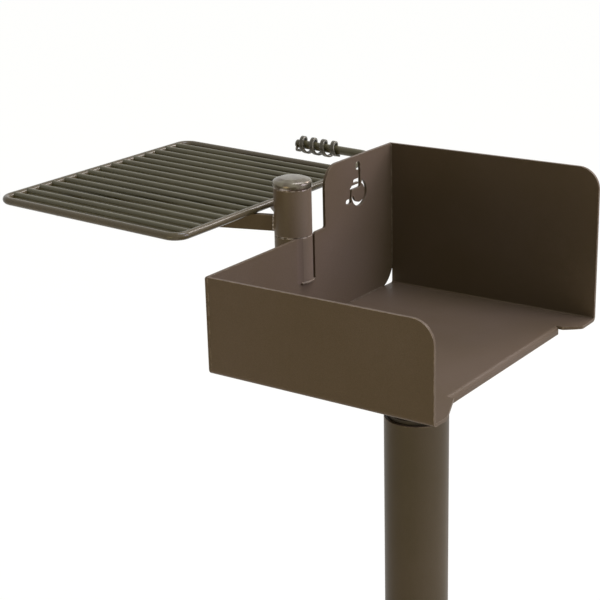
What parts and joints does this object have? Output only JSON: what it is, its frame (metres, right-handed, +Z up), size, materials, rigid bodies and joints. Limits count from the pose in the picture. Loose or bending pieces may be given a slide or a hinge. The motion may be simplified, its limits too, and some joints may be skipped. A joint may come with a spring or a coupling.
{
  "type": "park barbecue grill on pedestal",
  "caption": "Fixed park charcoal grill: a bent steel firebox that turns on an anchored pipe, with a rod grate on a swing-away arm and a coil-grip handle.",
  "frame": {"origin": "middle of the underside of the base plate, on the pedestal pipe axis", "axes": "+Z up along the pedestal pipe; +X toward the open side of the firebox; +Y toward the tall rear panel, away from the low front panel"},
  "size_m": [0.835, 0.6133, 0.9093],
  "materials": {
    "coated_steel": "dark brown satin powder coat",
    "coated_bar": "dark olive-brown coated round and flat bar",
    "bare_steel": "turned bare steel, greased",
    "coil_wire": "drawn spring wire, dulled"
  },
  "bodies": {
    "pedestal": {"base_plate": "coated_steel", "pedestal_pipe": "coated_steel", "bearing_ring": "bare_steel", "guide_ring": "bare_steel"},
    "firebox": {"firebox_tray": "coated_steel", "side_wall": "coated_steel", "floor_doubler": "coated_steel", "spindle": "coated_steel", "thrust_collar": "bare_steel", "retaining_pin": "bare_steel", "post_socket": "coated_steel", "pivot_post": "bare_steel"},
    "grate_arm": {"swing_sleeve": "coated_steel", "sleeve_cap": "coated_steel", "front_arm": "coated_bar", "rear_arm": "coated_bar", "grate_frame": "coated_bar", "grate_bar_01": "coated_bar", "grate_bar_02": "coated_bar", "grate_bar_03": "coated_bar", "grate_bar_04": "coated_bar", "grate_bar_05": "coated_bar", "grate_bar_06": "coated_bar", "grate_bar_07": "coated_bar", "grate_bar_08": "coated_bar", "grate_bar_09": "coated_bar", "grate_bar_10": "coated_bar", "grate_bar_11": "coated_bar", "grate_bar_12": "coated_bar", "grate_bar_13": "coated_bar", "grate_bar_14": "coated_bar", "grate_bar_15": "coated_bar", "handle_rod": "coated_bar", "handle_coil": "coil_wire"}
  },
  "joints": [
    {"name": "firebox_swivel", "type": "hinge", "parent": "pedestal", "child": "firebox", "pos_m": [0, 0, 0.546], "axis": [0, 0, 1], "continuous": true},
    {"name": "grate_swing", "type": "hinge", "parent": "firebox", "child": "grate_arm", "pos_m": [-0.223, -0.004, 0.8106], "axis": [0, 0, 1], "range_deg": [-12, 180]}
  ]
}
